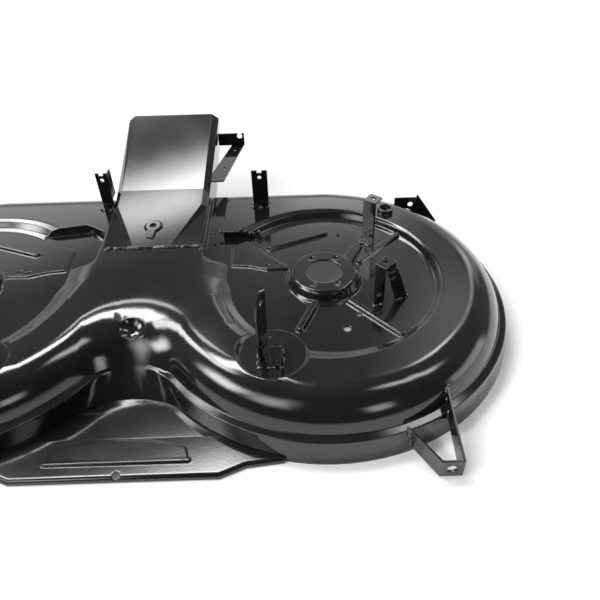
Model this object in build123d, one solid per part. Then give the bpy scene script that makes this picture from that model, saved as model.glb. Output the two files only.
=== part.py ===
from build123d import *
import os
from math import atan2, cos, degrees, hypot, radians, sin

# Bare welded shell of a twin blade lawn mower deck: a pressed pan with two
# round lobes, a discharge chute rising to the rear, a front apron and brackets.
# Millimetres, X across the deck, Y to the rear, Z up, skirt edge at height zero.

# Sheet, straps and fits
sheet = 2.5
strap = 3.0
seat_gap = 0.3
embed = 1.0

# Pressed pan
spindle_spacing = 560.0
deck_height = 84.0
land_radius = 217.0
land_waist = 36.0
shoulder_bands = 5
ledge_height = 40.0
ledge_radius = 271.0
ledge_waist = 138.0
step_drop = 3.5
step_width = 10.0
step_waist_width = 6.0
skirt_flare = 6.0
skirt_waist_flare = 29.0

# Lobe recess and spindle boss
rim_radius = 181.0
floor_radius = 158.5
floor_shift = 11.0
recess_depth = 13.0
boss_radius = 48.5
boss_run = 11.0
boss_rise = 16.0
spindle_bore = 28.0
bolt_circle = 37.0
bolt_angle = 60.0
bolt_hole = 4.5
small_hole = 3.5

# Beads, spokes, seats, pockets and the dish pressed in the pan
bead_width = 15.0
bead_rise = 5.0
bead_taper = 32.0
spoke_rise = 3.0
seat_radius = 46.0
seat_drop = 7.0
seat_foot = 5.0
seat_flare = 12.0
seat_inward = 78.0
seat_forward = 162.0
dish_radius = 28.0
dish_depth = 7.5
dish_turn = 38.0
channel_gap = 6.0
channel_width = 28.0
channel_reach = 195.0
channel_front = 42.0
channel_bend = 62.0
channel_slope = 40.0
channel_turn = 20.0
channel_knee = 8.0
channel_lean = 14.0
channel_rear = 117.0
pocket_rear = 128.0
pocket_peak = 152.0
pocket_wall = 5.0

# Discharge chute
chute_start = 78.0
chute_fold = 181.0
chute_crease = 222.0
chute_end = 425.0
chute_foot_half = 80.0
chute_end_half = 90.0
chute_crease_rise = 24.0
chute_end_rise = 76.0
chute_panel_half = 74.0
chute_panel_foot = 30.0
chute_panel_end = 77.0
chute_edge_drop = 10.0
chute_fold_drop = 8.0
chute_lip = 18.0
chute_side_depth = 52.0
chute_side_toe = 70.0
throat_lap = 14.0
throat_step = 5.0
emboss_radius = 12.0
emboss_rise = 3.5
emboss_hole = 5.5
emboss_flare = 5.0
emboss_offset = 3.0
emboss_setback = 48.0
emboss_tail_width = 15.0
emboss_tail_length = 26.0
emboss_tail_turn = 8.0

# Chute arm and brace
arm_setback = 40.0
arm_reach = 52.0
arm_height = 25.0
arm_drop = 25.0
notch_radius = 5.0
notch_mouth = 7.0
notch_edge = 4.0
notch_depth = 6.0
brace_width = 24.0
brace_length = 139.0
brace_seat = 30.0
brace_inset = 2.0

# Front apron
apron_height = 8.0
apron_reach = 16.0
apron_corner = 147.0
apron_shoulder = 114.0
apron_shoulder_back = 14.4
apron_tip = 65.0
apron_tip_back = 20.0
apron_bend = 6.0
apron_slope = 5.0
apron_flat = 60.0
apron_bead_half = 96.0
apron_bead_width = 9.0
apron_bead_setback = 24.0
apron_bead_rise = 3.0
apron_pad_depth = 20.0
apron_pad_rise = 2.0
apron_taper = 30.0
apron_hole = 4.55
apron_hole_tilt = 35.0

# Brackets
hanger_height = 64.0
hanger_width = 28.0
hanger_foot = 18.0
hanger_inward = 117.0
hanger_setback = 6.0
hanger_notch = 8.0
hanger_notch_depth = 5.0
hanger_pin_drop = 13.0
flanged_width = 20.0
flanged_gap = 7.0
flange_reach = 24.0
flange_rise = 12.0
flange_drop = 4.0
post_width = 22.0
post_height = 79.0
post_flange = 22.0
post_foot = 10.0
post_hole_rise = 17.0
post_x = 77.5
post_y = 95.0
idler_height = 64.0
idler_bore = 4.55
idler_hole_rise = 19.0
front_hanger_height = 118.0
front_flange_height = 16.0
front_base_inner = 20.0
front_base_outer = 14.0
front_base_front = 26.0
front_base_rear = 10.0
front_turn = 25.0
link_bore = 4.2
gusset_height = 25.0
wheel_strap_height = 30.0
wheel_reach = 22.0
wheel_clearance = 1.0
wheel_toe_rise = 12.0
wheel_tail_rise = 26.0
wheel_bore = 6.3
wheel_hole_outward = 141.0
rear_strap_height = 40.0
rear_strap_peak = 6.0
rear_strap_tip = 8.0
rear_bore = 4.9
rear_hole_outward = 172.0
rear_hole_rise = 26.0
port_radius = 13.5
port_bore = 9.5
port_height = 8.0
port_ledge = 1.5
port_outward = 5.0
port_angle = 55.0

lobe_x = spindle_spacing / 2
floor_height = deck_height - recess_depth
seat_height = deck_height - seat_drop
boss_height = floor_height + boss_rise
step_height = ledge_height - step_drop
step_radius = ledge_radius + step_width
step_waist = ledge_waist + step_waist_width
skirt_radius = step_radius + skirt_flare
skirt_waist = step_waist + skirt_waist_flare
seat_x = lobe_x - seat_inward
seat_y = -seat_forward
channel_inner = chute_foot_half + channel_gap
channel_outer = channel_inner + channel_width
shoulder_run = ledge_radius - land_radius
shoulder_waist_run = ledge_waist - land_waist
shoulder_drop = deck_height - ledge_height
shoulder_turn = 2 * atan2(shoulder_drop, shoulder_run)
drawn_wall = [(0.0, 0.0), (0.2, 0.35), (0.8, 0.65), (1.0, 1.0)]
clear = 20.0


# Helpers

def lobe_outline(radius, waist):
    """Plan of the pan: two lobes, a straight rear and a hollow front."""
    hollow = (lobe_x**2 + waist**2 - radius**2) / (2 * (radius - waist))
    reach = radius + hollow
    touch_x = lobe_x - radius * lobe_x / reach
    touch_y = -radius * (waist + hollow) / reach
    side_x = lobe_x + radius
    right = ThreePointArc((lobe_x, radius), (side_x, 0), (touch_x, touch_y))
    front = ThreePointArc((touch_x, touch_y), (0, -waist), (-touch_x, touch_y))
    left = ThreePointArc((-touch_x, touch_y), (-side_x, 0), (-lobe_x, radius))
    rear = Line((-lobe_x, radius), (lobe_x, radius))
    return make_face([right, front, left, rear])


def level(radius, waist, height):
    """Pan outline at a height."""
    return Pos(0, 0, height) * lobe_outline(radius, waist)


def prism(points, bottom, top, taper=0.0):
    """Upright prism on a plan polygon, drawn in by a taper angle."""
    face = Pos(0, 0, bottom) * make_face(Polyline(*points, close=True))
    return extrude(face, amount=top - bottom, dir=(0, 0, 1), taper=taper)


def drum(x, y, radius, bottom, top, top_radius=None):
    """Upright cylinder or cone."""
    low = (Align.CENTER, Align.CENTER, Align.MIN)
    if top_radius is None:
        return Pos(x, y, bottom) * Cylinder(radius, top - bottom, align=low)
    return Pos(x, y, bottom) * Cone(radius, top_radius, top - bottom, align=low)


def block(x0, x1, y0, y1, z0, z1):
    """Box between two corners."""
    return Pos((x0 + x1) / 2, (y0 + y1) / 2, (z0 + z1) / 2) * Box(x1 - x0, y1 - y0, z1 - z0)


def plate(points, plane, thickness):
    """Flat plate drawn on a plane and thickened along its normal."""
    face = plane * make_face(Polyline(*points, close=True))
    return extrude(face, amount=thickness, dir=tuple(plane.z_dir))


def cross_hole(x, y, z, radius):
    """Hole along Y through a strap."""
    return Pos(x, y, z) * Rot(90, 0, 0) * Cylinder(radius, 8 * strap)


def wall(start, end, low_start, low_end, high_end, high_start):
    """Upright strap between two plan points, with its four corner heights."""
    run = hypot(end[0] - start[0], end[1] - start[1])
    along = ((end[0] - start[0]) / run, (end[1] - start[1]) / run, 0)
    plane = Plane(origin=(start[0], start[1], 0), x_dir=along, z_dir=(along[1], -along[0], 0))
    corners = [(0, low_start), (run, low_end), (run, high_end), (0, high_start)]
    return plate(corners, plane, strap)


def facet(points, thickness, direction):
    """Flat panel between corners in space, thickened along a direction."""
    return extrude(make_face(Polyline(*points, close=True)), amount=thickness, dir=direction)


def leg(top_edge, foot_edge, top, foot):
    """Leg with a diagonal crease between a top edge and a foot edge of plan points."""
    (a, b), (c, d) = top_edge, foot_edge
    high_a, high_b = (*a, top), (*b, top)
    low_c, low_d = (*c, foot), (*d, foot)
    inward = (0, 1, 0)
    return facet([high_a, high_b, low_c], strap, inward) + facet([high_b, low_d, low_c], strap, inward)


def both(shape):
    """Shape together with its mirror image in the middle of the deck."""
    return shape + mirror(shape, about=Plane.YZ)


def on_lobe(*points):
    """Plan points given from the right spindle."""
    return [(lobe_x + x, y) for x, y in points]


# Pressed pan

def bead(start, end, inset):
    """Raised bead on a recess floor between two points given from the spindle."""
    (x0, y0), (x1, y1) = on_lobe(start, end)
    middle = Pos((x0 + x1) / 2, (y0 + y1) / 2, floor_height - embed - inset)
    turn = Rot(0, 0, degrees(atan2(y1 - y0, x1 - x0)))
    slot = turn * SlotCenterToCenter(hypot(x1 - x0, y1 - y0), bead_width - inset)
    return extrude(middle * slot, amount=bead_rise + embed, dir=(0, 0, 1), taper=bead_taper)


def drawn_form(low, high, bottom, top, shift=0.0):
    """Round solid with an S shaped drawn wall from a low radius to a high one."""
    rings = []
    for rise, spread in drawn_wall:
        ring = Circle(low + (high - low) * spread)
        rings.append(Pos(shift * (1 - spread), 0, bottom + (top - bottom) * rise) * ring)
    return loft(rings, ruled=True)


def recess_cutter(inset):
    """Space above a lobe: a recess with its floor off centre and the boss left standing."""
    slim = inset / 2
    top = deck_height - inset
    floor = floor_height - inset
    crown = boss_height - inset
    space = drawn_form(floor_radius + slim, rim_radius + slim, floor, top, floor_shift)
    space += drum(0, 0, rim_radius + slim, top, top + 2 * clear)
    boss_foot = boss_radius + boss_run
    return space - drawn_form(boss_foot - slim, boss_radius - slim, floor, crown)


def shoulder_point(turn):
    """Share of the run outward and drop below the land at an angle along the shoulder arc."""
    share = sin(turn) / sin(shoulder_turn)
    drop = shoulder_drop * (1 - cos(turn)) / (1 - cos(shoulder_turn))
    return share, drop


def shoulder_rings(inset):
    """Radius, waist and height of each ring on the arc from the land down to the ledge."""
    bands = shoulder_bands if inset == 0 else shoulder_bands - 2
    rings = []
    for band in range(bands):
        turn = shoulder_turn * band / bands
        share, drop = shoulder_point(turn)
        thin = inset * sin(turn)
        radius = land_radius + share * shoulder_run - thin
        waist = land_waist + share * shoulder_waist_run - thin
        rings.append((radius, waist, deck_height - drop - inset * cos(turn)))
    rings.append((ledge_radius - inset, ledge_waist - inset, ledge_height - inset))
    return rings


def sloped_space(floor_plan, land_plan, inset):
    """Space with sloping walls from a plan on the recess floor to a plan on the land."""
    low = Pos(0, 0, floor_height - inset) * make_face(Polyline(*floor_plan, close=True))
    high = Pos(0, 0, deck_height - inset) * make_face(Polyline(*land_plan, close=True))
    return loft([low, high], ruled=True) + prism(land_plan, deck_height - inset, deck_height + clear)


def pan_form(inset):
    """Solid of the pan, drawn in by the sheet for its hollow side."""
    slim = inset / 2
    rings = shoulder_rings(inset)
    rings.append((step_radius - inset, step_waist - inset, step_height - inset))
    rings.append((skirt_radius - inset, skirt_waist - inset, -inset))
    form = loft([level(*ring) for ring in reversed(rings)], ruled=True)

    # Bosses, recesses and the pockets that run to the chute
    for side in (1, -1):
        form += drum(side * lobe_x, 0, boss_radius + boss_run, floor_height, boss_height)
    form -= both(Pos(lobe_x, 0, 0) * recess_cutter(inset))
    inner = channel_inner - inset
    outer = channel_outer + inset
    behind = skirt_radius + clear
    floor_front = [
        (inner + channel_slope, channel_bend - channel_turn),
        (inner + channel_slope, channel_knee),
        (inner + channel_slope + channel_lean, -channel_front),
        (channel_reach, -channel_front),
    ]
    land_front = [(x - channel_slope, y) for x, y in floor_front[:3]] + floor_front[3:]
    rear_edge = [(channel_reach, channel_rear + inset), (outer, channel_rear + inset), (outer, behind)]
    channel_floor = [(inner + embed, behind), (inner + embed, channel_bend), *floor_front, *rear_edge]
    channel_land = [(inner, behind), (inner, channel_bend), *land_front, *rear_edge]
    pocket_x = outer + 2 * pocket_wall
    pocket_side = (pocket_rear + pocket_peak) / 2
    pocket_floor = [
        (inner + pocket_wall, pocket_rear - pocket_wall),
        (inner + pocket_wall, channel_bend),
        *floor_front,
        (channel_reach, pocket_side - pocket_wall),
        (pocket_x - pocket_wall, pocket_peak - pocket_wall),
    ]
    pocket_land = [
        (inner, pocket_rear + inset),
        (inner, channel_bend),
        *land_front,
        (channel_reach, pocket_side + inset),
        (pocket_x, pocket_peak + inset),
    ]
    form -= sloped_space(channel_floor, channel_land, inset)
    form -= mirror(sloped_space(pocket_floor, pocket_land, inset), about=Plane.YZ)

    # Bracket seats that straddle the rim, with their floor between the levels
    flat = seat_height - inset
    for side in (1, -1):
        x = side * seat_x
        foot_radius = seat_radius + seat_foot - slim
        rim = seat_radius + seat_flare + slim
        form += drum(x, seat_y, foot_radius, floor_height - seat_drop, flat, seat_radius - slim)
        form -= drum(x, seat_y, seat_radius + slim, flat, deck_height + seat_flare, rim)

    # Beads and flared spokes on the recess floors
    low = floor_height - embed - inset
    high = floor_height + spoke_rise - inset
    spoke_rear = [(-52, 24), (-58, 37), (-89, 65), (-110, 95), (-122, 108)]
    spoke_front = [(-150, 92), (-148, 36), (-120, 33), (-90, 23)]
    wide_spoke = on_lobe(*spoke_rear, *spoke_front)
    short_spoke = on_lobe((30, 48), (46, 32), (70, 80), (56, 92))
    raised = prism(wide_spoke, low, high, taper=bead_taper)
    raised += prism(short_spoke, low, high, taper=bead_taper)
    raised += bead((60, 41), (128, 108), inset)
    raised += bead((36, -56), (102, -128), inset)
    raised += bead((-18, -62), (-40, -112), inset)
    raised += bead((-85, 84), (8, 121), inset)
    form += both(raised)

    # Dish pressed in the front hollow
    form -= dish_centre * Sphere(dish_radius + inset)
    return form


dish_share, dish_drop = shoulder_point(radians(dish_turn))
fall_rate = shoulder_drop * sin(radians(dish_turn)) / (1 - cos(shoulder_turn))
run_rate = shoulder_waist_run * cos(radians(dish_turn)) / sin(shoulder_turn)
dish_slope = atan2(fall_rate, run_rate)
dish_lift = dish_radius - dish_depth
dish_centre = Pos(
    0,
    -(land_waist + dish_share * shoulder_waist_run) - dish_lift * sin(dish_slope),
    deck_height - dish_drop + dish_lift * cos(dish_slope),
)

pan_solid = pan_form(0.0)
deck_shell = pan_solid - pan_form(sheet)


# Throat below the chute

def chute_half(y):
    """Half width of the chute at a distance behind the spindles."""
    share = (y - chute_start) / (chute_end - chute_start)
    return chute_foot_half + (chute_end_half - chute_foot_half) * share


throat_front = chute_start + throat_lap
throat_rear = skirt_radius + clear
throat_sill = ledge_height + throat_step
throat = [
    (-chute_half(throat_front) + sheet, throat_front),
    (chute_half(throat_front) - sheet, throat_front),
    (chute_half(throat_rear) - sheet, throat_rear),
    (-chute_half(throat_rear) + sheet, throat_rear),
]
deck_shell -= prism(throat, throat_sill, deck_height + clear)

# Spindle bores with their bolt holes, and the small holes in the floors
floor_holes = [(31, 114, 1.0), (27, -113, 1.5), (47, -84, 1.0), (-73, 36, 1.1), (-89, 33, 1.1)]
for side in (1, -1):
    deck_shell -= drum(side * lobe_x, 0, spindle_bore, 0, deck_height + clear)
    for turn in (bolt_angle, 180 - bolt_angle, 180 + bolt_angle, -bolt_angle):
        x = side * lobe_x + bolt_circle * cos(radians(turn))
        y = bolt_circle * sin(radians(turn))
        deck_shell -= drum(x, y, bolt_hole, floor_height, deck_height + clear)
    for dx, dy, share in floor_holes:
        x = side * (lobe_x + dx)
        deck_shell -= drum(x, dy, share * small_hole, floor_height - clear, deck_height)


# Chute cover, folded from one sheet with a crease across each corner
foot_height = deck_height + sheet
crease_height = deck_height + chute_crease_rise
end_height = deck_height + chute_end_rise
cover_slope = atan2(crease_height - foot_height, chute_crease - chute_start)


def lower_panel(y):
    """Height of the lower cover panel at a distance behind the spindles."""
    share = (y - chute_start) / (chute_crease - chute_start)
    return foot_height + (crease_height - foot_height) * share


fold_height = lower_panel(chute_fold)
stations = [
    (chute_start, chute_panel_foot, foot_height, foot_height),
    (chute_fold, chute_panel_half, fold_height, fold_height - chute_fold_drop),
    (chute_crease, chute_panel_half, crease_height, crease_height - chute_edge_drop),
    (chute_end, chute_panel_end, end_height, end_height - chute_edge_drop),
]
crowns = [(half, y, high) for y, half, high, edge in stations]
edges = [(chute_half(y), y, edge) for y, half, high, edge in stations]
down = (0, 0, -1)
strips = []
for near in range(3):
    strips.append(facet([crowns[near], edges[near], edges[near + 1]], sheet, down))
    strips.append(facet([crowns[near], edges[near + 1], crowns[near + 1]], sheet, down))
lower_edge = crowns[:3] + [(-x, y, z) for x, y, z in reversed(crowns[:3])]
upper_edge = crowns[2:] + [(-x, y, z) for x, y, z in reversed(crowns[2:])]
chute_cover = facet(lower_edge, sheet, down) + facet(upper_edge, sheet, down)
for strip in strips:
    chute_cover += both(strip)

# Lips turned down along the cover edges
side_run = hypot(chute_end_half - chute_foot_half, chute_end - chute_start)
side_cos = (chute_end - chute_start) / side_run
side_sin = (chute_end_half - chute_foot_half) / side_run


def side_plane(depth):
    """Upright plane along the right edge of the chute, moved in by a depth."""
    origin = (chute_foot_half - depth * side_cos, chute_start + depth * side_sin, 0)
    return Plane(origin=origin, x_dir=(side_sin, side_cos, 0), z_dir=(side_cos, -side_sin, 0))


edge_line = [((y - chute_start) / side_cos, edge) for y, half, high, edge in stations]
lip_foot = deck_height + seat_gap
lip_outline = [
    (2 * sheet, foot_height),
    *edge_line[1:],
    (edge_line[3][0], edge_line[3][1] - chute_lip),
    (edge_line[2][0], max(edge_line[2][1] - chute_lip, lip_foot)),
    (2 * sheet, lip_foot),
]
chute_cover += both(plate(lip_outline, side_plane(sheet), sheet))

# Raised pad with a hole in the middle of the cover, with a tail to its foot
emboss_y = chute_start + emboss_setback
emboss_base = lower_panel(emboss_y) - embed
emboss_place = Pos(-emboss_offset, emboss_y, emboss_base) * Rot(degrees(cover_slope), 0, 0)
emboss_head = drum(0, 0, emboss_radius + emboss_flare, 0, emboss_rise + embed, emboss_radius)
tail_shape = RectangleRounded(emboss_tail_width, emboss_tail_length, emboss_tail_width / 4)
tail_y = -emboss_radius - emboss_tail_length / 4
tail_face = Pos(-embed, tail_y, 0) * Rot(0, 0, -emboss_tail_turn) * tail_shape
emboss_tail = extrude(tail_face, amount=emboss_rise + embed / 2, dir=(0, 0, 1), taper=bead_taper)
chute_cover += emboss_place * (emboss_head + emboss_tail)
chute_cover -= emboss_place * Cylinder(emboss_hole, 2 * clear)

# Chute sides, flat plates standing inside the lips and down through the throat
start_run = (throat_front + seat_gap - chute_start) / side_cos
sill = throat_sill + seat_gap
side_outline = [
    (start_run, deck_height - sheet),
    (start_run, deck_height - seat_gap),
    *[(run, height - sheet - seat_gap) for run, height in edge_line[1:]],
    (edge_line[3][0], edge_line[3][1] - chute_side_depth),
    ((throat_rear - chute_start) / side_cos, sill),
    ((throat_front + chute_side_toe - chute_start) / side_cos, sill),
]
chute_side = plate(side_outline, side_plane(2 * sheet + seat_gap), sheet)

# Arm with a notch and the flat brace that holds it
arm_y = chute_end - arm_setback
arm_x = chute_half(arm_y + strap) + seat_gap
arm_tip = arm_x + arm_reach
arm_foot = end_height - arm_drop - arm_height
notch_x = arm_tip - notch_radius - notch_edge
notch_z = arm_foot + arm_height - notch_depth
chute_arm = block(arm_x, arm_tip, arm_y, arm_y + strap, arm_foot, arm_foot + arm_height)
chute_arm -= cross_hole(notch_x, arm_y, notch_z, notch_radius)
mouth_left = notch_x - notch_mouth / 2
mouth_right = notch_x + notch_mouth / 2
chute_arm -= block(mouth_left, mouth_right, arm_y - strap, arm_y + 2 * strap, notch_z, notch_z + clear)
brace_high = arm_foot - seat_gap
brace_front = arm_y - brace_length
brace_inner = chute_half(brace_front) + seat_gap
brace_outer = arm_tip - brace_inset
brace_rear = brace_front + brace_seat
brace_plan = [
    (brace_outer - brace_width, arm_y + strap),
    (brace_outer, arm_y + strap),
    (brace_inner + brace_width, brace_front),
    (brace_inner, brace_front),
    (chute_half(brace_rear) + seat_gap, brace_rear),
]
chute_brace = prism(brace_plan, brace_high - strap, brace_high)
for share in (0.33, 0.86):
    x = brace_inner + brace_width / 2 + share * (brace_outer - brace_width - brace_inner)
    y = brace_front + share * brace_length
    chute_brace -= drum(x, y, small_hole, brace_high - clear, brace_high + clear)

# Front apron, closing the hollow between the lobes
apron_line = skirt_radius + apron_reach
apron_points = [
    (lobe_x - apron_corner, -apron_line),
    (lobe_x - apron_shoulder, -apron_line + apron_shoulder_back),
    (lobe_x - apron_tip, -apron_line + apron_tip_back),
]
slope_start = apron_line - apron_flat
slope_rate = apron_slope / (slope_start - skirt_waist)


def apron_form(inset):
    """Solid below the apron, drawn in by the sheet for its hollow side."""
    front = [(x, y + inset) for x, y in apron_points]
    tip = apron_points[-1][0]
    ring = [(tip, -land_waist), (-tip, -land_waist)]
    ring += [(-x, y) for x, y in reversed(front)]
    ring += front
    top = apron_height - inset
    form = prism(ring, -inset - apron_height, top)
    rim = [e for e in form.edges().filter_by(Plane.XY) if e.center().Z > top - seat_gap]
    form = fillet([e for e in rim if e.center().Y < -skirt_radius + clear], apron_bend - inset)
    fall = [
        (-slope_start, top),
        (-land_waist, top + clear),
        (-land_waist, top - slope_rate * (slope_start - land_waist)),
    ]
    return form - plate(fall, Plane.YZ.offset(-spindle_spacing), 2 * spindle_spacing)


skirt_solid = loft(
    [
        level(skirt_radius + seat_gap, skirt_waist + seat_gap, 0),
        level(step_radius + seat_gap, step_waist + seat_gap, step_height),
    ],
    ruled=True,
)
ground = Pos(0, 0, -deck_height / 2) * Box(2 * spindle_spacing, 2 * spindle_spacing, deck_height)
front_apron = apron_form(0.0) - apron_form(sheet) - skirt_solid - ground
bead_y = -apron_line + apron_bead_setback
raised_foot = apron_height - embed
apron_bead = Pos(0, bead_y, raised_foot) * SlotOverall(2 * apron_bead_half, apron_bead_width)
front_apron += extrude(apron_bead, amount=apron_bead_rise + embed, dir=(0, 0, 1), taper=apron_taper)
pad_wide = apron_bead_half - apron_bead_width / 3
pad_slim = apron_bead_half - apron_bead_width
pad_rear = bead_y + apron_pad_depth
pad_edge = [
    Line((-pad_wide, bead_y), (pad_wide, bead_y)),
    Line((pad_wide, bead_y), (pad_slim, pad_rear)),
    ThreePointArc((pad_slim, pad_rear), (0, -slope_start - embed), (-pad_slim, pad_rear)),
    Line((-pad_slim, pad_rear), (-pad_wide, bead_y)),
]
apron_pad = Pos(0, 0, raised_foot) * make_face(pad_edge)
front_apron += extrude(apron_pad, amount=apron_pad_rise + embed, dir=(0, 0, 1), taper=apron_taper)
lip_hole = Pos(strap, -apron_line + apron_bend - embed, raised_foot) * Rot(apron_hole_tilt, 0, 0)
front_apron -= lip_hole * Cylinder(apron_hole, clear + strap)

# Rear hangers on the land, each with a foot, a notched top and a pin hole

def hanger(x0, width, y):
    """Upright hanger plate from its left edge."""
    middle = x0 + width / 2
    top = deck_height + hanger_height
    body = block(x0, x0 + width, y, y + strap, deck_height, top)
    body += block(x0, x0 + width, y - hanger_foot, y + strap, deck_height, deck_height + strap)
    half = hanger_notch / 2
    notch_foot = top - hanger_notch_depth
    body -= block(middle - half, middle + half, y - strap, y + 2 * strap, notch_foot, top + clear)
    body -= cross_hole(middle, y, top - hanger_pin_drop, small_hole)
    return body


hanger_y = land_radius - strap
hanger_x = lobe_x - hanger_inward
flange_x = -(chute_half(hanger_y) + flanged_gap)
flanged_x = flange_x - flanged_width
flange_low = deck_height + flange_rise
flange_high = deck_height + hanger_height - flange_drop
rear_hanger_right = hanger(hanger_x, hanger_width, hanger_y - hanger_setback)
rear_hanger_left = hanger(flanged_x, flanged_width, hanger_y)
flange_end = hanger_y + flange_reach
rear_hanger_left += block(flange_x - strap, flange_x, hanger_y, flange_end, flange_low, flange_high)

# Cover post in the recess: foot, upright and a flange with a hole
post = block(-post_width / 2, post_width / 2, 0, strap, 0, post_height)
post += block(-post_width / 2, post_width / 2, -post_foot, strap, 0, strap)
post += block(-post_width / 2, post_width / 2, 0, post_flange, post_height - strap, post_height)
post -= drum(0, post_flange / 2 + embed, small_hole, post_height - clear, post_height + clear)
post -= cross_hole(0, 0, post_hole_rise, small_hole)
post_turn = degrees(atan2(post_y, post_x)) - 90
cover_post_right = Pos(lobe_x + post_x, post_y, floor_height) * Rot(0, 0, post_turn) * post

# Idler bracket in the recess: a top plate on two leaning legs
idler_top = floor_height + idler_height
idler_corners = on_lobe((71, -48), (88.5, -27), (101, -43), (84.5, -60))
left_foot = on_lobe((69.5, -67), (85, -62))
right_foot = on_lobe((103, -55), (122.5, -49))
idler = prism(idler_corners, idler_top - strap, idler_top)
idler += leg((idler_corners[0], idler_corners[3]), left_foot, idler_top, floor_height)
idler += leg((idler_corners[3], idler_corners[2]), right_foot, idler_top, floor_height)
idler_x = sum(x for x, y in idler_corners) / 4
idler_y = sum(y for x, y in idler_corners) / 4
idler -= drum(idler_x, idler_y, idler_bore, idler_top - clear, idler_top + clear)
leg_x = (left_foot[0][0] + left_foot[1][0]) / 2
leg_y = (left_foot[0][1] + left_foot[1][1]) / 2 + strap
idler -= cross_hole(leg_x, leg_y, floor_height + idler_hole_rise, small_hole)
idler_bracket_right = idler

# Front hanger on its seat: base, short flange and a tall pointed upright
base_left = seat_x - front_base_inner
base_right = seat_x + front_base_outer
base_front = seat_y - front_base_front
base_rear = seat_y + front_base_rear
base_top = seat_height + strap
front_hanger = block(base_left, base_right, base_front, base_rear, seat_height, base_top)
flange_top = base_top + front_flange_height
front_hanger += block(base_right - strap, base_right, base_front, base_rear, seat_height, flange_top)
upright = [
    (0, 0),
    (16, 0),
    (25, 0.45 * front_hanger_height),
    (26, 0.95 * front_hanger_height),
    (14, front_hanger_height),
    (0, 0.83 * front_hanger_height),
    (-2, 0.68 * front_hanger_height),
]
upright_turn = radians(front_turn)
upright_plane = Plane(
    origin=(base_left + 2, base_front + strap + embed, seat_height),
    x_dir=(sin(upright_turn), cos(upright_turn), 0),
    z_dir=(cos(upright_turn), -sin(upright_turn), 0),
)
front_hanger += plate(upright, upright_plane, strap)
upright_hole = Pos(13, 0.86 * front_hanger_height, 0) * Cylinder(link_bore, clear)
front_hanger_right = front_hanger - upright_plane * upright_hole
gusset = [
    (base_front + 3, base_top),
    (base_rear - 2, base_top),
    (base_rear, base_top + 0.8 * gusset_height),
    (base_rear - 8, base_top + gusset_height),
]
front_gusset_right = plate(gusset, Plane.YZ.offset(seat_x - 4), strap)

# Front wheel bracket, a strap bent in plan and coped to the pan
strap_low = wheel_clearance
strap_high = strap_low + wheel_strap_height
wheel_y = -skirt_radius - wheel_reach
wheel_left, wheel_elbow, wheel_corner, wheel_right = on_lobe(
    (80, -246), (127, wheel_y), (156, wheel_y), (149, -202)
)
toe_low = strap_low + wheel_toe_rise
wheel_bracket = wall(wheel_elbow, wheel_left, strap_low, toe_low, ledge_height, strap_high)
wheel_bracket += wall(wheel_corner, wheel_elbow, strap_low, strap_low, strap_high, strap_high)
tail_high = ledge_height + wheel_tail_rise
wheel_bracket += wall(wheel_right, wheel_corner, ledge_height, strap_low, strap_high, tail_high)
wheel_hole = strap_low + wheel_strap_height / 2
wheel_bracket -= cross_hole(lobe_x + wheel_hole_outward, wheel_y, wheel_hole, wheel_bore)
front_wheel_bracket_right = wheel_bracket - pan_solid

# Rear wheel bracket, a pointed strap bent in plan and standing on the ledge
rear_low = ledge_height - embed
rear_high = rear_low + rear_strap_height
rear_peak = rear_high + rear_strap_peak
rear_tip = rear_low + rear_strap_tip
rear_in, rear_elbow, rear_end = on_lobe((142, 220), (184, 220), (216, 190))
rear_bracket = wall(rear_in, rear_elbow, rear_low, rear_low, rear_high, rear_high)
rear_bracket += wall(rear_elbow, rear_end, rear_low, rear_low, rear_tip, rear_peak)
rear_hole = rear_low + rear_hole_rise
rear_bracket -= cross_hole(lobe_x + rear_hole_outward, rear_elbow[1], rear_hole, rear_bore)
rear_wheel_bracket_right = rear_bracket - pan_solid

# Washing port, a collar on the land
port_reach = (rim_radius + land_radius) / 2 + port_outward
port_x = lobe_x + port_reach * cos(radians(port_angle))
port_y = port_reach * sin(radians(port_angle))
wash_port_right = drum(port_x, port_y, port_radius, deck_height, deck_height + port_height)
wash_port_right -= drum(port_x, port_y, port_bore, deck_height - clear, deck_height + clear)
deck_shell -= both(drum(port_x, port_y, port_bore - port_ledge, deck_height - clear, deck_height + clear))

# Nodes
nodes = {
    "deck_shell": deck_shell,
    "front_apron": front_apron,
    "chute_cover": chute_cover,
    "chute_side_right": chute_side,
    "chute_side_left": mirror(chute_side, about=Plane.YZ),
    "chute_arm": chute_arm,
    "chute_brace": chute_brace,
    "rear_hanger_right": rear_hanger_right,
    "rear_hanger_left": rear_hanger_left,
}
paired = {
    "cover_post": cover_post_right,
    "idler_bracket": idler_bracket_right,
    "front_hanger": front_hanger_right,
    "front_gusset": front_gusset_right,
    "front_wheel_bracket": front_wheel_bracket_right,
    "rear_wheel_bracket": rear_wheel_bracket_right,
    "wash_port": wash_port_right,
}
for name, shape in paired.items():
    nodes[name + "_right"] = shape
    nodes[name + "_left"] = mirror(shape, about=Plane.YZ)

# Origin below the middle of the whole deck
box = Compound(children=[Compound(shape.solids()) for shape in nodes.values()]).bounding_box()
origin = Pos(-(box.min.X + box.max.X) / 2, -(box.min.Y + box.max.Y) / 2, -box.min.Z)

os.makedirs("parts", exist_ok=True)
for name, shape in nodes.items():
    export_step(origin * shape, f"parts/{name}.step")
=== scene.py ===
import logging
import math
import random
from dataclasses import dataclass, field
from enum import Enum

import bmesh
import bpy
from mathutils import Matrix, Vector
from mathutils.bvhtree import BVHTree


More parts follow.
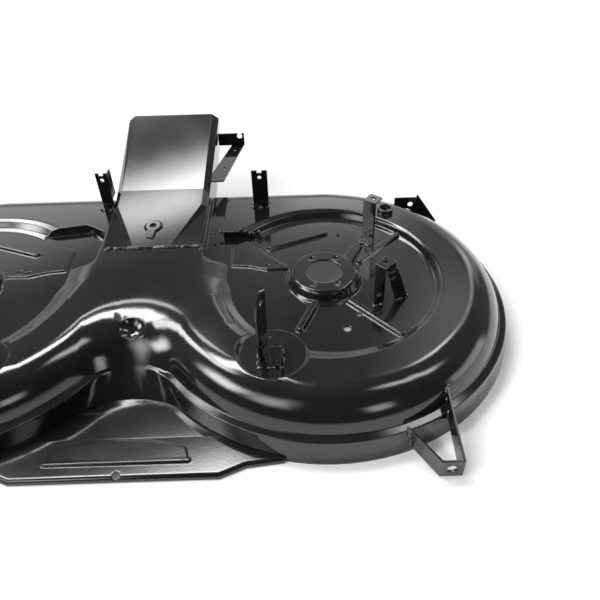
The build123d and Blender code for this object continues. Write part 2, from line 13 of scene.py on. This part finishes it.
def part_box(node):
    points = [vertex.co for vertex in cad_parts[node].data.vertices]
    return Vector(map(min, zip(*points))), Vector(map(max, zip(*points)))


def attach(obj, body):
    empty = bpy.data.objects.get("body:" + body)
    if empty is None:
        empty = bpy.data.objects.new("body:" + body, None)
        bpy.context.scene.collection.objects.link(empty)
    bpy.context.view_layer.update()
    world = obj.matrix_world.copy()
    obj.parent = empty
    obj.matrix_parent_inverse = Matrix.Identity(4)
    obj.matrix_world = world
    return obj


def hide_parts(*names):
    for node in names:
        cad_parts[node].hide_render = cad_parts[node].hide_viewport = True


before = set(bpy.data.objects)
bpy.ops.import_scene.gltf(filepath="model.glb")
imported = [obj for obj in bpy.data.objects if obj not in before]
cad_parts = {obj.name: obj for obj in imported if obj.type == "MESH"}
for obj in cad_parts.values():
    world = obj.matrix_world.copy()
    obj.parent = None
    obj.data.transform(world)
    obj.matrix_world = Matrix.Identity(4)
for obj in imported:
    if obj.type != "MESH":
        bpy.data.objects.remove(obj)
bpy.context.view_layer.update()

logging.basicConfig(level=logging.INFO, format="%(message)s")
log = logging.getLogger("mower_deck")

MM = 0.001
BODY = "root"
PAN = "deck_shell"
WHITE = (1.0, 1.0, 1.0, 1.0)

Socket = bpy.types.NodeSocket
Value = float | Socket


class Side(Enum):
    """The two halves of the deck, with the sign of their X."""

    RIGHT = 1
    LEFT = -1

    @property
    def word(self) -> str:
        """Name of the side as the nodes end in it."""
        return self.name.lower()


class Edge(Enum):
    """How the edges of a piece were left by the press or the shear."""

    PRESSED = "pressed"
    SHEARED = "sheared"


# Shader graphs

class Graph:
    """Small helper that adds and joins shader nodes in one tree."""

    def __init__(self, tree: bpy.types.NodeTree) -> None:
        """Empty the tree and keep it.

        Args:
            tree: node tree of a material or a world.
        """
        self.tree = tree
        tree.nodes.clear()

    def add(self, kind: str, settings: dict[str, object] | None = None,
            **inputs: Value | Vector | tuple[float, ...]) -> bpy.types.Node:
        """Add one node.

        Args:
            kind: identifier of the node type.
            settings: attributes of the node to set before its sockets.
            **inputs: socket name with underscores for spaces, or i0, i1 for a
                socket by its place; the value is a constant or a socket.

        Returns:
            The new node.
        """
        node = self.tree.nodes.new(kind)
        for name, value in (settings or {}).items():
            setattr(node, name, value)
        for name, value in inputs.items():
            is_place = name[0] == "i" and name[1:].isdigit()
            socket = node.inputs[int(name[1:])] if is_place else node.inputs[name.replace("_", " ")]
            if isinstance(value, Socket):
                self.tree.links.new(value, socket)
            else:
                socket.default_value = value
        return node

    def math(self, operation: str, first: Value, second: Value = 0.0) -> Socket:
        """Result of one math node.

        Args:
            operation: name of the operation.
            first: constant or socket.
            second: constant or socket.

        Returns:
            The output socket.
        """
        return self.add("ShaderNodeMath", {"operation": operation}, i0=first, i1=second).outputs[0]

    def span(self, value: Socket, source: tuple[float, float], result: tuple[float, float]) -> Socket:
        """Value carried smoothly from one range to another and clamped.

        Args:
            value: socket with the value.
            source: start and end of the source range.
            result: what comes out at that start and end.

        Returns:
            The output socket.
        """
        low, high = source
        to_low, to_high = result
        settings = {"interpolation_type": "SMOOTHSTEP"}
        node = self.add("ShaderNodeMapRange", settings, i0=value, i1=low, i2=high, i3=to_low, i4=to_high)
        return node.outputs[0]

    def noise(self, vector: Socket, scale: float, detail: float) -> Socket:
        """Grey noise field.

        Args:
            vector: socket with the coordinates.
            scale: noise cells per metre.
            detail: number of finer layers.

        Returns:
            The output socket with the noise value.
        """
        return self.add("ShaderNodeTexNoise", None, Vector=vector, Scale=scale, Detail=detail).outputs[0]

    def grey(self, level: Socket) -> Socket:
        """Neutral colour of a given level."""
        return self.add("ShaderNodeCombineColor", None, Red=level, Green=level, Blue=level).outputs[0]

    def bump(self, height: Socket, strength: float, distance: float, normal: Socket) -> Socket:
        """Normal of a finely uneven surface.

        Args:
            height: socket with the height.
            strength: share of the unevenness.
            distance: depth of the unevenness in metres.
            normal: normal of the surface below it.

        Returns:
            The socket with the new normal.
        """
        node = self.add(
            "ShaderNodeBump", None, Strength=strength, Distance=distance, Height=height, Normal=normal
        )
        return node.outputs[0]


# Finishes

@dataclass(frozen=True)
class GlossPaint:
    """Black stoved enamel over pressed steel.

    The film has orange peel, a slow waviness of the sheet below it, small
    changes of gloss, fine dust specks and softly rounded bends. Scales are in
    noise cells per metre.
    """

    name: str
    shade: tuple[float, float] = (0.006, 0.012)
    shade_scale: float = 9.0
    shade_range: tuple[float, float] = (0.35, 0.7)
    dust: float = 0.03
    dust_scale: float = 900.0
    dust_range: tuple[float, float] = (0.74, 0.8)
    roughness: tuple[float, float] = (0.1, 0.125)
    roughness_scale: float = 26.0
    roughness_range: tuple[float, float] = (0.3, 0.75)
    refraction: float = 1.5
    coat_weight: float = 0.5
    coat_roughness: float = 0.07
    peel_scale: float = 330.0
    peel_height: float = 0.04
    peel_depth: float = 0.6 * MM
    wave_scale: float = 13.0
    wave_height: float = 0.01
    wave_depth: float = 4 * MM
    bend: float = 1.2 * MM
    bend_samples: int = 8

    def material(self) -> bpy.types.Material:
        """Build the node material of this paint."""
        made = bpy.data.materials.new(self.name)
        made.use_nodes = True
        graph = Graph(made.node_tree)
        place = graph.add("ShaderNodeTexCoord").outputs["Object"]
        cloud = graph.noise(place, self.shade_scale, detail=3.0)
        speck = graph.noise(place, self.dust_scale, detail=1.0)
        shade = graph.span(cloud, self.shade_range, self.shade)
        dust = graph.span(speck, self.dust_range, (0.0, self.dust))
        colour = graph.grey(graph.math("ADD", shade, dust))
        smear = graph.noise(place, self.roughness_scale, detail=4.0)
        roughness = graph.span(smear, self.roughness_range, self.roughness)
        bends = graph.add("ShaderNodeBevel", {"samples": self.bend_samples}, Radius=self.bend).outputs[0]
        wave = graph.noise(place, self.wave_scale, detail=1.0)
        sheet = graph.bump(wave, self.wave_height, self.wave_depth, bends)
        peel = graph.noise(place, self.peel_scale, detail=2.0)
        skin = graph.bump(peel, self.peel_height, self.peel_depth, sheet)
        paint = graph.add(
            "ShaderNodeBsdfPrincipled",
            None,
            Base_Color=colour,
            Roughness=roughness,
            IOR=self.refraction,
            Coat_Weight=self.coat_weight,
            Coat_Roughness=self.coat_roughness,
            Normal=skin,
            Coat_Normal=skin,
        )
        graph.add("ShaderNodeOutputMaterial", None, Surface=paint.outputs[0])
        return made


@dataclass(frozen=True)
class StudioFloor:
    """White paper sweep that keeps a soft shadow."""

    name: str = "paper_sweep"
    tone: tuple[float, float] = (0.92, 0.94)
    fibre_scale: float = 60.0
    fibre_range: tuple[float, float] = (0.3, 0.7)
    lift: float = 0.08

    def material(self) -> bpy.types.Material:
        """Build the node material of the paper."""
        made = bpy.data.materials.new(self.name)
        made.use_nodes = True
        graph = Graph(made.node_tree)
        place = graph.add("ShaderNodeTexCoord").outputs["Object"]
        fibre = graph.noise(place, self.fibre_scale, detail=4.0)
        colour = graph.grey(graph.span(fibre, self.fibre_range, self.tone))
        paper = graph.add("ShaderNodeBsdfDiffuse", None, Color=colour).outputs[0]
        glow = graph.add("ShaderNodeEmission", None, Color=WHITE, Strength=1.0).outputs[0]
        path = graph.add("ShaderNodeLightPath")
        seen = graph.math("MAXIMUM", path.outputs["Is Camera Ray"], path.outputs["Is Glossy Ray"])
        seen = graph.math("MAXIMUM", seen, path.outputs["Is Transmission Ray"])
        share = graph.math("MULTIPLY", seen, self.lift)
        surface = graph.add("ShaderNodeMixShader", None, i0=share, i1=paper, i2=glow).outputs[0]
        graph.add("ShaderNodeOutputMaterial", None, Surface=surface)
        return made


# Meshes

def link(name: str, mesh: bmesh.types.BMesh, material: bpy.types.Material) -> bpy.types.Object:
    """Turn a bmesh into an object of the scene.

    Args:
        name: name of the object.
        mesh: finished bmesh, freed here.
        material: finish of the object.

    Returns:
        The new object.
    """
    data = bpy.data.meshes.new(name)
    mesh.to_mesh(data)
    mesh.free()
    data.materials.append(material)
    made = bpy.data.objects.new(name, data)
    bpy.context.scene.collection.objects.link(made)
    return made


def link_piece(name: str, mesh: bmesh.types.BMesh, material: bpy.types.Material) -> bpy.types.Object:
    """Turn a bmesh into a painted piece that rides on the deck.

    Args:
        name: name of the piece.
        mesh: finished bmesh, freed here.
        material: finish of the piece.

    Returns:
        The new piece.
    """
    piece = link(name, mesh, material)
    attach(piece, BODY)
    return piece


def welded_mesh(node: str, distance: float = 0.02 * MM) -> bmesh.types.BMesh:
    """Copy of a CAD node with its faces joined along their edges.

    Args:
        node: name of the CAD node.
        distance: how far apart vertices may lie to be joined.

    Returns:
        The joined copy, which the caller frees.
    """
    mesh = bmesh.new()
    mesh.from_mesh(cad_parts[node].data)
    bmesh.ops.remove_doubles(mesh, verts=mesh.verts, dist=distance)
    return mesh


@dataclass
class DressedNode:
    """A painted copy of one CAD node, with its edges broken as the real piece has them.

    Angles are in degrees.
    """

    node: str
    edge: Edge
    crease: float = 34.0
    fold: float = 3.0
    panel_area: float = 60 * MM * MM
    break_width: float = 0.5 * MM
    break_segments: int = 2
    flat_angle: float = 0.4

    def build(self, paint: bpy.types.Material) -> None:
        """Copy the node, weld its faces together and dress it.

        Args:
            paint: finish of the piece.
        """
        mesh = welded_mesh(self.node)
        bmesh.ops.dissolve_limit(
            mesh,
            angle_limit=math.radians(self.flat_angle),
            verts=mesh.verts,
            edges=mesh.edges,
        )
        for face in mesh.faces:
            face.smooth = True
        for line in mesh.edges:
            line.smooth = line.calc_face_angle(0.0) < math.radians(self.limit(line))
        piece = link_piece(self.node + "_painted", mesh, paint)
        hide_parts(self.node)
        self.dress(piece)
        log.info("%s stands for %s, %s edges", piece.name, self.node, self.edge.value)

    def limit(self, line: bmesh.types.BMEdge) -> float:
        """Angle above which an edge stays sharp: less between two wide flat panels.

        Args:
            line: the edge.

        Returns:
            The angle.
        """
        is_fold = all(face.calc_area() > self.panel_area for face in line.link_faces)
        return self.fold if is_fold else self.crease

    def dress(self, piece: bpy.types.Object) -> None:
        """Break the sheared edges and even out the shading.

        Args:
            piece: the painted copy.
        """
        if self.edge is Edge.SHEARED:
            bevel = piece.modifiers.new("broken_edges", "BEVEL")
            bevel.width = self.break_width
            bevel.segments = self.break_segments
            bevel.limit_method = "ANGLE"
            bevel.angle_limit = math.radians(self.crease)
        shading = piece.modifiers.new("even_shading", "WEIGHTED_NORMAL")
        shading.keep_sharp = True


@dataclass
class DressedPan(DressedNode):
    """The painted pan: crisp in its recesses, soft on its shoulder and its knees beside the chute."""

    crease: float = 36.0
    spindle_x: float = 280 * MM
    spindle_y: float = -58 * MM
    recess_reach: float = 200 * MM
    recess_crease: float = 9.5
    knee_reach: float = 150 * MM
    knee_front: float = -160 * MM
    knee_back: float = 5 * MM

    def limit(self, line: bmesh.types.BMEdge) -> float:
        """Angle above which an edge stays sharp.

        Args:
            line: the edge.

        Returns:
            The angle, small inside a recess, unless the edge rolls over the knee.
        """
        start, end = (vertex.co for vertex in line.verts)
        middle = (start + end) / 2
        from_spindle = math.hypot(abs(middle.x) - self.spindle_x, middle.y - self.spindle_y)
        is_knee = abs(middle.x) < self.knee_reach and self.knee_front < middle.y < self.knee_back
        rolls_over = line.calc_face_angle_signed(0.0) > 0
        if from_spindle > self.recess_reach or (is_knee and rolls_over):
            return self.crease
        return self.recess_crease


# Welds

@dataclass
class WeldRun:
    """A lumpy fillet weld laid along a line.

    Ripple, wander and sway are shares of the radius. The taper at each end is
    that many radii long, and the end keeps a small share of the section.
    """

    points: list[Vector]
    radius: float
    pitch: float = 3.4 * MM
    sides: int = 9
    step: float = 0.8 * MM
    ripple: float = 0.16
    wander: float = 0.22
    sway: float = 0.18
    sway_pitches: float = 2.3
    taper: float = 1.6
    end_share: float = 0.06

    def stations(self) -> list[tuple[Vector, Vector]]:
        """Points along the line at even steps, each with its direction."""
        made = []
        for start, end in zip(self.points, self.points[1:]):
            run = end - start
            count = max(1, round(run.length / self.step))
            for place in range(count):
                made.append((start + run * (place / count), run.normalized()))
        made.append((self.points[-1].copy(), (self.points[-1] - self.points[-2]).normalized()))
        return made

    def add_to(self, mesh: bmesh.types.BMesh, draw: random.Random) -> None:
        """Lay the bead in a mesh.

        Args:
            mesh: mesh that takes the bead.
            draw: seeded source of the small irregularities.
        """
        stations = self.stations()
        rings = []
        phase = draw.uniform(0.0, math.tau)
        length = self.step * len(stations)
        for place, (point, along) in enumerate(stations):
            run = place * self.step
            swell = 1.0 + self.ripple * math.sin(math.tau * run / self.pitch + phase)
            swell += self.wander * (draw.random() - 0.5)
            from_end = min(run, length - run) / (self.taper * self.radius)
            swell *= math.sqrt(max(self.end_share, 1.0 - max(0.0, 1.0 - from_end) ** 2))
            wave = math.sin(run / (self.sway_pitches * self.pitch) * math.tau + 2 * phase)
            rings.append(self.ring(mesh, point, along, swell, self.radius * self.sway * wave))
        for near, far in zip(rings, rings[1:]):
            for side in range(self.sides):
                after = (side + 1) % self.sides
                mesh.faces.new((near[side], near[after], far[after], far[side]))
        mesh.faces.new(list(reversed(rings[0])))
        mesh.faces.new(rings[-1])

    def ring(self, mesh: bmesh.types.BMesh, point: Vector, along: Vector,
             swell: float, aside: float) -> list[bmesh.types.BMVert]:
        """One cross section of the bead.

        Args:
            mesh: mesh that takes the bead.
            point: middle of the section.
            along: direction of the bead.
            swell: size of the section as a share of the radius.
            aside: how far the section lies off the line.

        Returns:
            The corners of the section.
        """
        across = along.cross(Vector((0, 0, 1)))
        is_upright = across.length < 0.1
        across = Vector((1, 0, 0)) if is_upright else across.normalized()
        upward = across.cross(along).normalized()
        reach = self.radius * swell
        corners = []
        for side in range(self.sides):
            turn = math.tau * side / self.sides
            offset = across * (math.cos(turn) * reach + aside) + upward * (math.sin(turn) * reach)
            corners.append(mesh.verts.new(point + offset))
        return corners


def weld_piece(name: str, runs: list[WeldRun], paint: bpy.types.Material, seed: int) -> None:
    """Lay all welds of a bracket as one piece.

    Args:
        name: name of the piece.
        runs: the beads.
        paint: finish over the welds.
        seed: start of the random draws.
    """
    mesh = bmesh.new()
    draw = random.Random(seed)
    for run in runs:
        run.add_to(mesh, draw)
    bmesh.ops.recalc_face_normals(mesh, faces=mesh.faces)
    for face in mesh.faces:
        face.smooth = True
    link_piece(name, mesh, paint)
    log.info("%s has %d beads", name, len(runs))


@dataclass
class Joint:
    """The line along which a piece meets the pan, found from the two CAD nodes."""

    node: str
    reach: float = 0.5 * MM
    corner: float = 25.0
    meet: float = 0.05 * MM

    def edges(self) -> list[tuple[Vector, Vector]]:
        """Outline edges of the node that lie on the pan."""
        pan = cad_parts[PAN].data
        tree = BVHTree.FromPolygons([v.co for v in pan.vertices], [tuple(p.vertices) for p in pan.polygons])
        mesh = welded_mesh(self.node)
        found = []
        for line in mesh.edges:
            if line.calc_face_angle(0.0) < math.radians(self.corner):
                continue
            start, end = (vertex.co.copy() for vertex in line.verts)
            touching = [tree.find_nearest(point, self.reach)[0] for point in (start, (start + end) / 2, end)]
            if None not in touching:
                found.append((start, end))
        mesh.free()
        return found

    def grow(self, chain: list[Vector], waiting: list[tuple[Vector, Vector]]) -> bool:
        """Lengthen a chain by one edge at either end.

        Args:
            chain: points of the chain, lengthened here.
            waiting: edges that are in no chain, shortened here.

        Returns:
            Whether an edge was found.
        """
        for place, (start, end) in enumerate(waiting):
            for near, far in ((start, end), (end, start)):
                is_next = (chain[-1] - near).length < self.meet
                if not is_next and (chain[0] - near).length >= self.meet:
                    continue
                chain.insert(len(chain) if is_next else 0, far)
                waiting.pop(place)
                return True
        return False

    def loops(self, count: int) -> list[list[Vector]]:
        """The longest chains of those edges.

        Args:
            count: how many chains to keep.

        Returns:
            Each chain as a list of points.
        """
        waiting = self.edges()
        chains = []
        while waiting:
            chain = list(waiting.pop())
            while self.grow(chain, waiting):
                pass
            chains.append(chain)
        chains.sort(key=lambda points: -sum((b - a).length for a, b in zip(points, points[1:])))
        return chains[:count]


@dataclass
class StitchWeld:
    """Short beads with gaps along the joint of a bracket."""

    node: str
    loops: int = 1
    radius: float = 2.8 * MM
    radius_spread: tuple[float, float] = (0.8, 1.2)
    bead: tuple[float, float] = (7 * MM, 14 * MM)
    gap: tuple[float, float] = (2.5 * MM, 6 * MM)
    least_run: float = 0.01 * MM

    def build(self, paint: bpy.types.Material) -> None:
        """Lay the beads.

        Args:
            paint: enamel over weld metal.
        """
        draw = random.Random(sum(ord(letter) for letter in self.node))
        runs = []
        for chain in Joint(self.node).loops(self.loops):
            for points in self.stitches(chain, draw):
                runs.append(WeldRun(points, self.radius * draw.uniform(*self.radius_spread)))
        if runs:
            weld_piece(self.node + "_welds", runs, paint, seed=len(self.node))

    def stitches(self, chain: list[Vector], draw: random.Random) -> list[list[Vector]]:
        """Cut a chain of points into beads.

        Args:
            chain: points along the joint.
            draw: seeded source of the lengths.

        Returns:
            The points of each bead.
        """
        made = []
        points = [chain[0]]
        left = draw.uniform(*self.bead)
        is_bead = True
        for target in chain[1:]:
            here = points[-1]
            run = (target - here).length
            while run > left:
                here = here.lerp(target, left / run)
                points.append(here)
                if is_bead:
                    made.append(points)
                points = [here]
                is_bead = not is_bead
                run = (target - here).length
                left = draw.uniform(*(self.bead if is_bead else self.gap))
            if run > self.least_run:
                points.append(target)
                left -= run
        if is_bead and len(points) > 1:
            made.append(points)
        return made


@dataclass
class WeldSpots:
    """Single blobs of weld metal, at places given in millimetres."""

    name: str
    places: tuple[tuple[float, float, float], ...]
    radius: float
    reach_spread: tuple[float, float] = (0.6, 1.6)
    radius_spread: tuple[float, float] = (0.75, 1.15)

    def build(self, paint: bpy.types.Material) -> None:
        """Set the blobs.

        Args:
            paint: enamel over weld metal.
        """
        draw = random.Random(len(self.places))
        runs = []
        for place in self.places:
            start = Vector(place) * MM
            turn = draw.uniform(0.0, math.tau)
            reach = draw.uniform(*self.reach_spread) * self.radius
            end = start + Vector((math.cos(turn), math.sin(turn), 0.0)) * reach
            runs.append(WeldRun([start, end], self.radius * draw.uniform(*self.radius_spread)))
        weld_piece(self.name, runs, paint, seed=len(self.name))


# Sub-assemblies

@dataclass
class PressedPan:
    """The pressed pan with its lobes, and the apron that closes its front."""

    apron_crease: float = 25.0
    rim_weld_radius: float = 4.0 * MM
    rim_welds: tuple[tuple[float, float, float], ...] = (
        (100, 59, 84), (109, 58, 83), (138, 60, 85), (146, 62, 85), (151, 60, 84), (157, 63, 84),
        (161, 59, 81), (167, 61, 79), (172, 65, 79), (154, 68, 85),
    )

    def build(self, paint: bpy.types.Material, weld_paint: bpy.types.Material) -> None:
        """Paint the pan and the apron, and set the welds at the end of the rim.

        Args:
            paint: gloss enamel.
            weld_paint: enamel over weld metal.
        """
        DressedPan(PAN, Edge.PRESSED).build(paint)
        DressedNode("front_apron", Edge.PRESSED, crease=self.apron_crease).build(paint)
        WeldSpots("rim_end_welds", self.rim_welds, self.rim_weld_radius).build(weld_paint)


@dataclass
class DischargeChute:
    """Folded chute cover with its sides, arm and brace, tacked to the pan.

    Tacks are given by the X of their ends, in millimetres, along the foot of
    the cover; the corner welds lie in front of that foot.
    """

    cover: str = "chute_cover"
    plates: tuple[str, ...] = ("chute_side_right", "chute_side_left", "chute_arm", "chute_brace")
    tack_places: tuple[tuple[float, float], ...] = (
        (-77, -68), (-63, -54), (-41, -20), (2, 23), (40, 44), (48, 54), (66, 78)
    )
    tack_radius: float = 4.2 * MM
    tack_seed: int = 11
    corner_x: float = 78.0
    corner_ahead: float = 7.0
    corner_radius: float = 4.4 * MM
    seam_loops: int = 3
    seam_radius: float = 1.1 * MM

    def build(self, paint: bpy.types.Material, weld_paint: bpy.types.Material) -> None:
        """Paint the plates and weld the foot of the cover.

        Args:
            paint: gloss enamel.
            weld_paint: enamel over weld metal.
        """
        for name in (self.cover, *self.plates):
            DressedNode(name, Edge.SHEARED).build(paint)
        foot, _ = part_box(self.cover)
        runs = []
        for start, end in self.tack_places:
            ends = [Vector((x * MM, foot.y, foot.z)) for x in (start, end)]
            runs.append(WeldRun(ends, self.tack_radius))
        weld_piece("chute_foot_tacks", runs, weld_paint, self.tack_seed)
        front = foot.y / MM - self.corner_ahead
        height = foot.z / MM
        spots = tuple((side.value * self.corner_x, front, height) for side in Side)
        WeldSpots("chute_corner_welds", spots, self.corner_radius).build(weld_paint)
        StitchWeld(self.cover, self.seam_loops, self.seam_radius).build(weld_paint)


@dataclass
class WeldedBracket:
    """A bent strap bracket, stitched to the pan where it meets it."""

    node: str
    loops: int = 1
    radius: float = 2.8 * MM

    def build(self, paint: bpy.types.Material, weld_paint: bpy.types.Material) -> None:
        """Paint the bracket and weld its foot.

        Args:
            paint: gloss enamel.
            weld_paint: enamel over weld metal.
        """
        DressedNode(self.node, Edge.SHEARED).build(paint)
        if self.loops:
            StitchWeld(self.node, self.loops, self.radius).build(weld_paint)


# Studio

@dataclass(frozen=True)
class SoftPanel:
    """A soft edged panel of light in the sky of the studio.

    Angles are in degrees, azimuth from the rear of the deck towards its right.
    The panel slides sideways from that direction by its slide angle.
    """

    azimuth: float
    elevation: float
    half_width: float
    half_height: float
    softness: float
    radiance: float
    slide: float = 0.0

    def light(self, graph: Graph, direction: Socket) -> Socket:
        """Light of the panel along a direction.

        Args:
            graph: shader graph of the world.
            direction: socket with the direction.

        Returns:
            The radiance socket.
        """
        turn = Matrix.Rotation(math.radians(-self.azimuth), 3, "Z")
        tilt = Matrix.Rotation(math.radians(self.elevation), 3, "X")
        dots = []
        for axis in (turn @ tilt).col:
            settings = {"operation": "DOT_PRODUCT"}
            dots.append(graph.add("ShaderNodeVectorMath", settings, i0=direction, i1=axis).outputs["Value"])
        across, along, upward = dots
        ahead = graph.math("MAXIMUM", along, 0.001)
        light = graph.math("GREATER_THAN", along, 0.002)
        for dot, half, slide in ((across, self.half_width, self.slide), (upward, self.half_height, 0.0)):
            middle = math.tan(math.radians(slide))
            slope = graph.math("SUBTRACT", graph.math("DIVIDE", dot, ahead), middle)
            slope = graph.math("ABSOLUTE", slope)
            near = math.tan(math.radians(max(0.0, half - self.softness)))
            far = math.tan(math.radians(half + self.softness))
            light = graph.math("MULTIPLY", light, graph.span(slope, (near, far), (1.0, 0.0)))
        return graph.math("MULTIPLY", light, self.radiance)


@dataclass
class Studio:
    """White paper ground, soft studio sky and the camera of the photograph.

    Room and backdrop heights are the Z of a direction, room depths its Y.
    Camera angles are in radians.
    """

    floor_reach: float = 30.0
    room: tuple[float, float] = (0.22, 0.2)
    room_heights: tuple[float, float] = (0.0, 0.5)
    depth_share: tuple[float, float] = (0.3, 1.0)
    room_depths: tuple[float, float] = (-0.6, 0.4)
    backdrop_heights: tuple[float, float] = (0.03, 0.09)
    lens: float = 34.8
    sensor: float = 36.0
    clip: tuple[float, float] = (0.01, 100.0)
    eye: tuple[float, float, float] = (0.236066, -0.759916, 0.647332)
    yaw: float = 0.007725
    pitch: float = 0.722616
    roll: float = -0.025707
    panels: tuple[SoftPanel, ...] = field(default_factory=lambda: (
        # left
        SoftPanel(azimuth=-106, elevation=40, half_width=11, half_height=9, softness=7, radiance=12),
        SoftPanel(azimuth=-141, elevation=42, half_width=9, half_height=11, softness=8, radiance=4.4),
        # rear left, high: the chute cover and the rim of the hollow mirror these
        SoftPanel(
            azimuth=-19, elevation=60.3, half_width=10, half_height=4.1, softness=2.4, radiance=20, slide=-5
        ),
        SoftPanel(azimuth=-60, elevation=58, half_width=6, half_height=4.5, softness=3, radiance=12),
        SoftPanel(azimuth=-55, elevation=46, half_width=5.5, half_height=7.5, softness=2.5, radiance=12),
        SoftPanel(azimuth=-19, elevation=47.2, half_width=4.5, half_height=1.5, softness=1.4, radiance=9),
        # right
        SoftPanel(azimuth=82, elevation=62, half_width=4, half_height=11, softness=4, radiance=6.5),
        SoftPanel(azimuth=27, elevation=49, half_width=2.5, half_height=4, softness=2, radiance=8),
        SoftPanel(azimuth=31, elevation=32, half_width=3, half_height=13, softness=3, radiance=2),
        SoftPanel(azimuth=150, elevation=32, half_width=6, half_height=7, softness=4, radiance=3.6),
        # rear: the land and the recess floors mirror these
        SoftPanel(azimuth=5.5, elevation=29, half_width=5, half_height=4, softness=2.2, radiance=1),
        SoftPanel(azimuth=20, elevation=46, half_width=4, half_height=9, softness=4, radiance=0.8),
        SoftPanel(azimuth=-32, elevation=29, half_width=13, half_height=4, softness=3, radiance=1),
        SoftPanel(azimuth=0, elevation=14, half_width=40, half_height=19, softness=2.5, radiance=0.5),
        SoftPanel(azimuth=3, elevation=32, half_width=9, half_height=6, softness=5, radiance=0.55),
        # right, low
        SoftPanel(azimuth=92, elevation=8, half_width=16, half_height=11, softness=4, radiance=2),
    ))

    def build(self) -> None:
        """Make the ground, the sky and the camera."""
        self.lay_floor()
        self.light_sky()
        self.place_camera()
        log.info("studio has %d soft panels", len(self.panels))

    def lay_floor(self) -> None:
        """Lay the paper below the deck."""
        mesh = bmesh.new()
        bmesh.ops.create_grid(mesh, x_segments=2, y_segments=2, size=self.floor_reach)
        floor = link("paper_floor", mesh, StudioFloor().material())

    def light_sky(self) -> None:
        """Build the world: a dim room, darker towards the front, with soft panels.

        The camera sees white instead. Mirrored rays see that white near the
        horizon only, as if the paper rose a little there.
        """
        world = bpy.data.worlds.new("studio_sky")
        bpy.context.scene.world = world
        world.use_nodes = True
        graph = Graph(world.node_tree)
        direction = graph.add("ShaderNodeTexCoord").outputs["Generated"]
        parts = graph.add("ShaderNodeSeparateXYZ", None, Vector=direction).outputs
        room = graph.span(parts["Z"], self.room_heights, self.room)
        depth = graph.span(parts["Y"], self.room_depths, self.depth_share)
        light = graph.math("MULTIPLY", room, depth)
        for panel in self.panels:
            light = graph.math("ADD", light, panel.light(graph, direction))
        path = graph.add("ShaderNodeLightPath")
        backdrop = graph.span(parts["Z"], self.backdrop_heights, (1.0, 0.0))
        mirrored = graph.math("MAXIMUM", path.outputs["Is Glossy Ray"], path.outputs["Is Transmission Ray"])
        mirrored = graph.math("MULTIPLY", mirrored, backdrop)
        seen = graph.math("MAXIMUM", path.outputs["Is Camera Ray"], mirrored)
        level = graph.add("ShaderNodeMix", {"data_type": "FLOAT"}, Factor=seen, A=light, B=1.0).outputs[0]
        sky = graph.add("ShaderNodeBackground", None, Color=WHITE, Strength=level)
        graph.add("ShaderNodeOutputWorld", None, Surface=sky.outputs[0])

    def place_camera(self) -> None:
        """Stand the camera where the photograph was taken."""
        data = bpy.data.cameras.new("photo_camera")
        data.lens = self.lens
        data.sensor_width = self.sensor
        data.clip_start, data.clip_end = self.clip
        camera = bpy.data.objects.new("photo_camera", data)
        bpy.context.scene.collection.objects.link(camera)
        ahead = Vector((
            math.sin(self.yaw) * math.cos(self.pitch),
            math.cos(self.yaw) * math.cos(self.pitch),
            -math.sin(self.pitch),
        ))
        level_right = Vector((math.cos(self.yaw), -math.sin(self.yaw), 0.0))
        level_up = level_right.cross(ahead)
        right = math.cos(self.roll) * level_right + math.sin(self.roll) * level_up
        up = right.cross(ahead)
        turn = Matrix((right, up, -ahead)).transposed().to_4x4()
        camera.matrix_world = Matrix.Translation(self.eye) @ turn
        bpy.context.scene.camera = camera


def main() -> None:
    """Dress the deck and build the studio."""
    bpy.context.scene.view_settings.view_transform = "Standard"
    enamel = GlossPaint("gloss_black_enamel").material()
    pressed_enamel = GlossPaint("enamel_over_pressed_bends", bend=3.2 * MM).material()
    rough_enamel = GlossPaint("enamel_over_weld", refraction=1.9, peel_scale=700.0, peel_height=0.25)
    weld_enamel = rough_enamel.material()
    PressedPan().build(pressed_enamel, weld_enamel)
    DischargeChute().build(enamel, weld_enamel)
    for side in Side:
        for bracket in (
            WeldedBracket(f"rear_hanger_{side.word}"),
            WeldedBracket(f"cover_post_{side.word}"),
            WeldedBracket(f"idler_bracket_{side.word}", loops=2),
            WeldedBracket(f"front_hanger_{side.word}"),
            WeldedBracket(f"front_gusset_{side.word}", loops=0),
            WeldedBracket(f"front_wheel_bracket_{side.word}", loops=2),
            WeldedBracket(f"rear_wheel_bracket_{side.word}", loops=2),
            WeldedBracket(f"wash_port_{side.word}", radius=1.4 * MM),
        ):
            bracket.build(enamel, weld_enamel)
    Studio().build()


if __name__ == "__main__":
    main()
